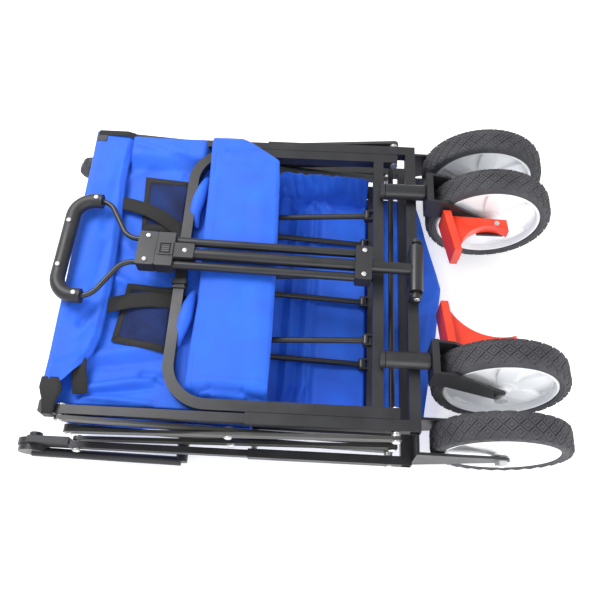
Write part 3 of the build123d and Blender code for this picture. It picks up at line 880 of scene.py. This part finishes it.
# %% Front rim band
RIM_EDGE = [(-203, -326), (-198, -321), (-190, -313), (-174, -301), (-147, -284), (-120, -277), (-80, -275),
            (-39, -275), (21, -276), (83, -279), (130, -282), (179, -284), (244, -279)]
RIM_Y = (-203.0, 243.5)
RIM_DIMPLES = [
    (-306, -104, -296, -80, -6.0, 8), (-332, -90, -318, -60, 2.6, 8), (-322, -30, -312, 60, 2.6, 12),
    (-330, -160, -306, -150, 3.4, 9), (-308, -128, -296, -104, 3.0, 8), (-326, 140, -296, 150, 2.4, 14),
    (-300, 60, -294, 180, -2.0, 7), (-298, -60, -292, 30, -2.4, 7),
]


def rim_top(y):
    """The height of the rim's upper face: up on the posts at its ends, a little slack between.

    It stays above the hoop, which comes to lie under it when the cart is open.
    """
    return 163.2 - 1.8 * smooth((222 - abs(y - 10)) / 60) + 0.5 * math.sin(y / 19)


def front_rim(across, along):
    y = mix(*RIM_Y, along)
    edge, top = track(RIM_EDGE, y), rim_top(y)
    drop = 0.1 + 0.9 * smooth((edge + 304) / 16)
    section = [(0, edge, top - 12.0 * drop), (0.05, edge - 1.0, top - 8.0 * drop),
               (0.2, edge - 8, top - 3.0 * drop), (0.62, -334, top + 1.0), (0.70, -341.5, top - 1.2),
               (0.75, -343.6, top - 6.0), (1, -343.8, 119)]
    x = track([(t, px) for t, px, _ in section], across)
    z = track([(t, pz) for t, _, pz in section], across)
    return x, y, z + (folds(RIM_DIMPLES, x, y) if across < 0.62 else 0)


cut_sheet("basket_front_rim", front_rim, (64, 130), (112, 448), blue_cloth, "front_posts", "folded",
          ["front_posts", "front_post_caps"], thick=1.2)
edge_line = [(track(RIM_EDGE, y) - 4, y, rim_top(y) - 4.6) for y in np.linspace(-196, 240, 60)]
stitch_row("basket_front_rim_stitches", edge_line, "front_posts", blue_thread)


def far_binding(across, along):
    """Black tape round the rim's far end."""
    x = mix(-338, -279.5, along)
    top = rim_top(243)
    drop = track([(0, 0.9), (0.45, 1.2), (0.6, 0.0), (1.0, -13.0)], across)
    y = track([(0, 234.5), (0.45, 243.0), (0.6, 245.2), (1.0, 245.6)], across)
    lean = track([(0, 0.4), (0.8, 0.0), (1.0, -5.0)], along)
    return x, y, top + drop + lean


cut_sheet("basket_far_binding", far_binding, (12, 30), (26, 60), black_webbing, "front_posts", "folded",
          ["basket_front_rim"], thick=1.0)


def near_binding(across, along):
    """Black cloth that closes the rim's near corner and runs over the post's cap."""
    y = mix(-243.5, -190, along)
    inner = track([(-243.5, -319), (-222, -317), (-208, -312), (-190, -318)], y)
    top = track([(-243.5, 165.8), (-214, 166.0), (-200, 164.6), (-190, 163.6)], y)
    outer = track([(-243.5, -334), (-222, -338), (-205, -345), (-190, -345)], y)
    x = track([(0, inner), (0.6, outer + 2), (0.72, outer), (1.0, outer - 0.4)], across)
    z = track([(0, top - 2.5), (0.1, top), (0.6, top + 0.4), (0.72, top - 2), (1.0, top - 6)], across)
    return x, y, z


cut_sheet("basket_near_binding", near_binding, (24, 24), (28, 54), black_webbing, "front_posts", "folded",
          ["front_post_caps"], thick=1.0)
print("rim made with its two bindings")

# %% [markdown]
# ## Mesh pockets
# Two open mesh pockets are sewn to the front panel with black tape. The mesh
# bulges a little off the cloth; the tape frame is flat and lies over its edge.

# %% Pockets and their tape
TAPE_STEPS, TAPE_WIDE = 24, 0.10
TAPE_SECTION = ((-0.01, 1.4), (0.02, 2.4), (TAPE_WIDE - 0.02, 2.4), (TAPE_WIDE, 1.4))


def quad_point(corners, s, t):
    """A point in a four-sided patch: corners are low-left, low-right, high-right, high-left."""
    a, b, c, d = (Vector(p) for p in corners)
    return a.lerp(b, s).lerp(d.lerp(c, s), t)


POCKETS = {
    "far": [(-246, 68), (-168, 68), (-166, 160), (-253, 168)],
    "near": [(-262, -124), (-172, -140), (-168, -34), (-252, -30)],
}


def pocket(word, corners):
    """One pocket: a slack mesh sheet inside a frame of tape."""
    def slack(across, along):
        p = quad_point(corners, across, along)
        sx, sy = math.sin(math.pi * across), math.sin(math.pi * along)
        rise = 5.5 * sx ** 0.7 * sy ** 0.7
        ripple = 1.3 * math.sin(along * 11 + across * 5) * sx * sy
        z = PANEL_Z + 2.6 + folds(PANEL_CREASES, p.x, p.y) * 0.5 + rise + ripple
        return p.x, p.y, min(z, 141.2) if p.x > HOOP_X - 4 else z

    net = sheet_mesh(f"pocket_{word}_mesh", slack, (40, 44), (90, 100), pocket_mesh, thick=0.5)
    frame_points, frame_faces = [], []
    loop = [(0, 0), (1, 0), (1, 1), (0, 1)]
    for (s0, t0), (s1, t1) in zip(loop, loop[1:] + loop[:1]):
        for i in range(TAPE_STEPS):
            s, t = mix(s0, s1, i / TAPE_STEPS), mix(t0, t1, i / TAPE_STEPS)
            for inset, lift in TAPE_SECTION:
                inner_s, inner_t = mix(s, 0.5, 2 * inset), mix(t, 0.5, 2 * inset)
                z = slack(min(1, max(0, inner_s)), min(1, max(0, inner_t)))[2] + lift
                p = quad_point(corners, inner_s, inner_t)
                z = min(141.5, z) if p.x > HOOP_X - 4 else max(z - 0.8, PANEL_Z + lift + 0.6)
                frame_points.append((p.x, p.y, z))
    total = 4 * TAPE_STEPS
    for i in range(total):
        a, b = 4 * i, 4 * ((i + 1) % total)
        frame_faces += [(a + j, a + j + 1, b + j + 1, b + j) for j in range(3)]
    tape = mesh_object(f"pocket_{word}_tape", frame_points, frame_faces, black_webbing)
    uv = tape.data.uv_layers.new(name="cut")
    for loop_entry in tape.data.loops:
        step_index, side = divmod(loop_entry.vertex_index, 4)
        uv.data[loop_entry.index].uv = (side * 0.003, step_index * 0.004)
    for piece in (net, tape):
        attached(piece, "front_posts", "black_plastic")


for word, patch in POCKETS.items():
    pocket(word, patch)
print("pockets:", list(POCKETS))

# %% [markdown]
# ## Webbing straps
# Two straps come out from under the rim and pass under the hoop, and a short tab
# hangs at the near corner. Webbing is stiff and keeps its width, so each one is a
# strip swept along a few points, with a slight arch off the cloth.

# %% Straps
STRAPS = {
    "strap_far": ([(-290, 113, 150), (-266, 108, 151), (-240, 100, 152), (-214, 88, 149), (-190, 73, 143.5),
                   (-172, 62, 141)], 23),
    "strap_near": ([(-288, -73, 150), (-266, -68, 152), (-238, -61, 153), (-210, -57, 151), (-186, -56, 145),
                    (-168, -56, 141), (-152, -57, 142)], 24),
    "corner_tab": ([(-300, -158, 155), (-297, -176, 154), (-294, -192, 151.5), (-292, -208, 147)], 21),
}
for name, (line, width) in STRAPS.items():
    surface, length = strip_surface(line, width)
    cut_sheet(name, surface, (8, 40), (width, length), black_webbing, "front_posts", "laid",
              ["basket_front_cloth"], thick=1.3)
    for side in (-1, 1):
        row = [surface(0.5 + side * 0.4, t) + Vector((0, 0, 0.8)) for t in np.linspace(0.04, 0.96, 30)]
        stitch_row(f"{name}_stitches_{'left' if side < 0 else 'right'}", row, "front_posts", black_thread)
print("straps:", list(STRAPS))

# %% [markdown]
# ## The folded flap
# A long flap of doubled cloth lies across the cart. It goes over the far arm of
# the hoop, where its corner is turned in, and tucks under the near arm with a few
# sharp creases. It is one sheet whose long edges roll under.

# %% Flap
FLAP_LEFT = [(-216, -140), (-190, -144), (-146, -144), (-62, -139), (0, -140), (52, -143), (130, -144),
             (232, -147), (242, -146)]
FLAP_RIGHT = [(-216, -27), (-104, -25.5), (11, -26.5), (160, -31), (197, -34), (242, -97)]
FLAP_TOP = [(-216, 140.5), (-207, 140.8), (-186, 157), (0, 165.6), (180, 166.6), (222, 165.5), (234, 164.5),
            (242, 161)]
SEAM_IN = 8.8
FLAP_FULL = [(-216, 0.04), (-206, 0.06), (-180, 0.9), (180, 1.0), (202, 0.25), (242, 0.2)]
FLAP_CREASES = [
    (-126, -199, -60, -203, 5.0, 3.0), (-112, -190, -64, -192, -4.0, 3.4), (-64, -192, -34, -206, -3.4, 3.0),
    (-124, -198, -110, -190, -3.0, 2.6), (-130, -184, -40, -182, 2.6, 6), (-104, -203, -80, -209, 4.0, 2.4),
    (-120, 214, -66, 222, -2.0, 4), (-138, 150, -134, -120, 1.2, 9), (-60, 120, -44, -140, 1.6, 16),
    (-100, 60, -96, -60, 1.2, 20), (-112, 200, -60, 196, 1.4, 8),
]


def flap(across, along):
    y = mix(-214.5, 241.5, along)
    left, right = track(FLAP_LEFT, y), track(FLAP_RIGHT, y)
    top, full = soft_track(FLAP_TOP, y), track(FLAP_FULL, y)
    section = [(0, left + 17, -9.5), (0.09, left + 3, -8.5), (0.11, left + 0.4, -6.5), (0.13, left, -4.2),
               (0.15, left + 1.4, -1.6), (0.18, left + 4.5, -0.2), (0.205, left + 7.6, 0.0),
               (0.215, left + SEAM_IN, -0.9), (0.225, left + 10, 0.1), (0.5, (left + right) / 2, 1.2),
               (0.80, right - 5, 0.3),
               (0.83, right - 1.6, -1.3), (0.85, right - 0.2, -3.0), (0.88, right, -4.8),
               (0.91, right - 2.2, -6.2), (1.0, right - 18, -7.0)]
    x = track([(t, px) for t, px, _ in section], across)
    z = top + full * track([(t, pz) for t, _, pz in section], across)
    if 0.2 < across < 0.82:
        z += folds(FLAP_CREASES, x, y) * (1 if y > -206 else 0.2)
    return x, y, z


cut_sheet("basket_flap", flap, (110, 150), (152, 457), blue_cloth, "front_posts", "folded",
          ["front_arch", "basket_front_cloth"])
flap_line = [(track(FLAP_LEFT, y) + SEAM_IN, y, soft_track(FLAP_TOP, y) - 0.5)
             for y in np.linspace(-182, 232, 70)]
stitch_row("basket_flap_stitches", flap_line, "front_posts", blue_thread)

PUFFS = {
    "hoop_tie_far": [(-152, 172, 148), (-156, 146, 155), (-160, 116, 158), (-163, 96, 157), (-158, 72, 148)],
    "hoop_tie_near": [(-150, -36, 147), (-154, -64, 155), (-157, -92, 157), (-162, -114, 154),
                      (-164, -130, 146)],
}


def puff(line):
    """A loop of cloth, fuller in its middle, that ties the basket to the hoop."""
    surface, length = strip_surface(line, 1.0)

    def round_loop(across, along):
        here = surface(0.5, along)
        width = 2.4 + 8.0 * math.sin(math.pi * along) ** 0.8
        angle = math.pi * (1.15 * across - 0.075)
        return here + Vector((-math.cos(angle) * width, 0, math.sin(angle) * width * 0.75 - 3))

    return round_loop, length


for name, line in PUFFS.items():
    surface, length = puff(line)
    cut_sheet(name, surface, (16, 30), (22, length), blue_cloth, "front_posts", "gathered",
              ["basket_front_cloth"])
print("flap and hoop ties made")

# %% [markdown]
# ## Small parts on the hoop and the latch
# Two plastic saddles sit on the hoop's base and keep the folded handle off it. The
# latch button has ribs for the thumb. They are modelled, since a bump has no edge
# to catch the light. The heads on the handle's flat screws are domes as well.

# %% Saddles, button ribs and handle screws
def saddle(name, y, width):
    """A U-shaped clip over the square hoop."""
    half, top, low, wall, cut = 8.6, 158.6, 147.0, 2.2, 1.5
    inside = [(-half, low), (-half, top - cut), (-half + cut, top), (half - cut, top), (half, top - cut),
              (half, low)]
    outside = [(px * (half + wall) / half, pz + (wall if pz > low else 0)) for px, pz in inside]
    ring = outside + inside[::-1]
    centre = HOOP_X + 8.0
    points = [(centre + px, y + side * width / 2, pz) for side in (-1, 1) for px, pz in ring]
    count = len(ring)
    faces = [(i, (i + 1) % count, count + (i + 1) % count, count + i) for i in range(count)]
    for k in range(5):
        a, b, c, d = k, k + 1, count - 2 - k, count - 1 - k
        faces += [(d, c, b, a), (count + a, count + b, count + c, count + d)]
    attached(outward(mesh_object(name, points, faces, black_nylon, False)), "front_frame", "black_plastic")


saddle("hoop_saddle_far", 44.0, 8.0)
saddle("hoop_saddle_near", -28.0, 8.0)
saddle("hoop_saddle_near_band", -38.0, 3.0)

button_low, button_high = (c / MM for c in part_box("latch_button"))
rib_points, rib_faces = [], []
for k in range(4):
    y0 = mix(button_low.y + 2.2, button_high.y - 2.2, k / 3)
    base = len(rib_points)
    for x, half in ((button_low.x + 2.6, 0.55), (button_high.x - 2.6, 0.55)):
        rib_points += [(x, y0 - half, button_high.z - 0.6), (x, y0 + half, button_high.z - 0.6),
                       (x, y0 + half * 0.5, button_high.z + 1.1), (x, y0 - half * 0.5, button_high.z + 1.1)]
    rib_faces += [(base + i, base + (i + 1) % 4, base + 4 + (i + 1) % 4, base + 4 + i) for i in range(4)]
    rib_faces += [(base + 3, base + 2, base + 1, base), (base + 4, base + 5, base + 6, base + 7)]
bezel_x, bezel_y = (button_low.x + button_high.x) / 2, (button_low.y + button_high.y) / 2
bezel_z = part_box("latch_block")[1].z / MM
bezel_points = [(bezel_x + sx * hx, bezel_y + sy * hy, bezel_z + up)
                for hx, hy, up in ((11.5, 11.0, -0.5), (11.0, 10.5, 1.6), (8.6, 8.6, 1.6), (8.2, 8.2, -0.5))
                for sx, sy in SQUARE]
bezel_faces = [(4 * r + i, 4 * r + (i + 1) % 4, 4 * ((r + 1) % 4) + (i + 1) % 4, 4 * ((r + 1) % 4) + i)
               for r in range(4) for i in range(4)]
bezel = outward(mesh_object("latch_bezel", bezel_points, bezel_faces, black_nylon, False))
attached(bezel, "pull_handle", "black_plastic")
rib_finish = hard_finish("rib_grey", grey(0.10, 0.004), grey(0.15, 0.006), (0.35, 0.5), 0.6, 0.05)
ribs = outward(mesh_object("latch_button_ribs", rib_points, rib_faces, rib_finish, False))
attached(ribs, "latch_button", "black_plastic")

screw_places = [((low[0] + high[0]) / 2, (low[1] + high[1]) / 2, high[2])
                for low, high in loose_boxes("handle_screws")]
heads_at("handle_screw_domes", screw_places, [(0, 0, 1)] * len(screw_places), 3.6, 1.5, "handle_extension")
neck_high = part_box("latch_block")[1]
neck_x = neck_high.x - 0.014
joints = {joint["name"]: joint for joint in frame["joints"]}
pivot, turn = joints["handle_pivot"]["pos_m"], joints["handle_pivot"]["axis"]
neck_place = (neck_x, pivot[1] + (pivot[0] - neck_x) * turn[0] / turn[1], neck_high.z - 0.001)
heads_at("latch_neck_rivet", [neck_place], [(0, 0, 1)], 3.6, 1.6, "pull_handle")
bolt_low, bolt_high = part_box("handle_pivot_bolt")
bolt_end = ((bolt_low.x + bolt_high.x) / 2, bolt_low.y + 0.0004, (bolt_low.z + bolt_high.z) / 2)
heads_at("handle_bolt_nut", [bolt_end], [(0, -1, 0)], 5.0, 2.6, "front_frame")
print("saddles, ribs and", len(screw_places) + 1, "screw heads")

# %% [markdown]
# ## The back of the basket
# The same panel and rim lie on the underside, in the rear end frame. They are
# plainer, but they still sag between the posts.

# %% Back panel and rim
BACK_CREASES = [(-300, 180, -120, 120, -3.0, 14), (-310, -170, -120, -120, -3.0, 14),
                (-280, 60, -90, 20, -2.2, 16), (-280, -60, -90, -30, 2.0, 16), (-200, 190, -60, 170, 2.2, 9),
                (-200, -190, -60, -170, 2.2, 9)]


def back_panel(across, along):
    x, y = mix(-334, CLOTH_END - 2, across), mix(-200, 200, along)
    return x, y, max(65.0, 68.5 + folds(BACK_CREASES, x, y))


REAR_HOOP_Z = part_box("rear_arch")[0].z / MM


def back_rim(across, along):
    y = mix(-224, 224, along)
    low = REAR_HOOP_Z - 1.8 - 1.4 * smooth((200 - abs(y)) / 60)
    section = [(0, -292, low + 0.6), (0.1, -296, low + 0.3), (0.25, -312, low), (0.5, -336, low),
               (0.58, -342, low + 2), (0.64, -344, low + 7), (1, -344, 112)]
    return (track([(t, px) for t, px, _ in section], across), y,
            track([(t, pz) for t, _, pz in section], across))


back_cloth = cut_sheet("basket_back_cloth", back_panel, (80, 110), (284, 402), blue_cloth, "rear_posts",
                       "stretched", ["rear_posts"])
cut_sheet("basket_back_rim", back_rim, (50, 110), (112, 450), blue_cloth, "rear_posts", "folded",
          ["rear_posts"], thick=1.2)
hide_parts("basket_rear_panel")
print("back panel and rim made")

# %% [markdown]
# ## The gathered sides
# Between the two end frames the sides of the basket gather into tight pleats, and
# they spread as the cart opens. Each side is one sheet, pleated like a bellows.

# %% Pleated sides
PLEATS = 8
SIDE_Z = (73.0, 129.5)
SIDE_X = (-320.0, -50.0)


def side_cloth(side):
    def surface(across, along):
        x, z = mix(*SIDE_X, along), mix(*SIDE_Z, across)
        wave = math.cos(math.tau * PLEATS * across)
        sharp = math.copysign(abs(wave) ** 0.8, wave)
        depth = 17.5 + 1.4 * math.sin(x / 23 + 6 * across)
        return x, side * (219 - depth * sharp), z + 0.9 * math.sin(x / 31)
    return surface


for side, word in ((-1, "near"), (1, "far")):
    cells = (PLEATS * 12, 60)
    piece = sheet_mesh(f"basket_side_{word}", side_cloth(side), cells, (560, 270), blue_cloth, thick=0.5)
    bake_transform(piece)
    if side < 0:
        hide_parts("basket_sides")
print("sides pleated", PLEATS, "times")

# %% [markdown]
# ## The floor
# The floor is blue cloth on two sets of rods that fold towards each other. The rear
# half lies behind its rods, so all the rods show in front of it; a piped seam
# crosses it and it is crumpled at its far end. The front half is slack and stays
# near the fold, under the flap.

# %% Floor cloth on its rods
ROD_PIVOT = {"front": joints["front_floor_fold"]["pos_m"], "rear": joints["rear_floor_fold"]["pos_m"]}
ROD_BOX = {"front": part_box("floor_rods_front"), "rear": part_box("floor_rods_rear")}
CLOTH_REACH = {"rear": (117, -128), "front": (-44, -150)}
FLOOR_FOLDS = [
    (30, -206, 34, 206, 2.4, 2.0), (38, -206, 42, 206, -1.6, 2.6), (22, -200, 26, 190, 4.2, 5),
    (8, -200, 12, 180, -4.0, 5), (-6, -190, 0, 150, 4.4, 5), (-20, -190, -16, 190, -3.4, 5),
    (-32, -190, -30, 190, 3.6, 6), (2, -202, 26, -150, 4.6, 6), (-12, -196, 6, -160, -3.8, 5),
    (0, 150, 30, 196, 4.6, 6), (10, 196, 34, 172, -4.0, 5), (34, 196, 56, 168, 4.2, 5),
    (46, 172, 106, 166, 4.6, 7), (58, 188, 108, 184, -4.2, 6), (50, 200, 104, 202, 5.0, 6),
    (-24, 190, -2, 160, 4.2, 6), (-10, 204, 16, 182, -4.4, 5), (64, 120, 104, 70, 1.8, 20),
    (60, -60, 104, -120, 1.8, 20), (54, 30, 100, -10, -1.6, 18),
]
FLOOR_RUN, TURN_UP, SEAM_OFF = {"front": 204.0, "rear": 252.0}, 184.0, 8.2


def floor_cloth(half):
    """The floor's cloth lies on the side of the rods that is upward when the cart stands.

    The rear half turns up at both ends, in gathers, where the sides begin.
    """
    px, pz = ROD_PIVOT[half][0] / MM, ROD_PIVOT[half][2] / MM
    outward_z = 1 if half == "front" else -1
    low, high = ROD_BOX[half]
    tip_z = (low.z if half == "front" else high.z) / MM + outward_z * 4.5
    slope = (tip_z - pz) / (low.x / MM - px)
    offset = SEAM_OFF if half == "rear" else -SEAM_OFF

    def surface(across, along):
        x, run = mix(*CLOTH_REACH[half], across), FLOOR_RUN[half] * (2 * along - 1)
        turned = max(0.0, abs(run) - TURN_UP) if half == "rear" else 0.0
        side = 1 if run > 0 else -1
        y = side * (abs(run) - turned + 0.30 * turned)
        y *= mix(1.0, 0.95, smooth((-30 - x) / 30))
        gathers = min(turned, 18) / 18 * (2.6 * math.sin(x / 6.5 + turned / 21) + 1.6 * math.sin(x / 3.7 + 2))
        base = pz + slope * (x - px) + outward_z * offset
        rise = turned * 0.80 * (1 - 0.25 * smooth((-10 - x) / 60))
        return x, y - side * abs(gathers) * 0.8, base + folds(FLOOR_FOLDS, x, y) * 0.9 + rise + gathers * 0.4

    return surface


for half in ("front", "rear"):
    reach = abs(CLOTH_REACH[half][0] - CLOTH_REACH[half][1])
    piece = cut_sheet(f"floor_cloth_{half}", floor_cloth(half), (110, 190), (reach, 2 * FLOOR_RUN[half]),
                      blue_cloth, f"{half}_floor", "laid", [f"floor_rods_{half}"])
    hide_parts(f"floor_panel_{half}")
print("floor halves made")

# %% [markdown]
# ## The skirt
# Slack cloth hangs past the lower bars, towards the wheels. Its edge is a shallow
# bow, and a few soft ridges run in from it.

# %% Skirt of slack cloth below the floor bars
SKIRT_EDGE = [(-203, 209), (-170, 214), (-120, 222), (-60, 233), (34, 245), (60, 240), (130, 222), (170, 214),
              (203, 205)]
SKIRT_FOLDS = [(150, -60, 236, 22, 3.2, 9), (150, 100, 236, 40, 3.0, 9), (140, -150, 205, -110, -3.0, 9),
               (140, 160, 205, 120, -3.0, 9), (196, -180, 226, 10, 2.0, 5), (196, 180, 226, 60, 2.0, 5)]


def skirt(across, along):
    y = mix(-212, 212, along)
    edge = min(track(SKIRT_EDGE, y), 168 + 6 * (212 - abs(y)))
    x = mix(96, edge, across)
    z = track([(96, 46), (120, 42), (172, 41), (195, 43), (edge - 6, 47), (edge, 45)], x)
    z = min(z, mix(z, 40.0, smooth((abs(y) - 198) / 7)))
    return x, y, z + folds(SKIRT_FOLDS, x, y)


cut_sheet("basket_skirt", skirt, (50, 100), (136, 424), blue_cloth, "rear_frame", "hung", ["rear_cross_tubes"])
print("skirt made")
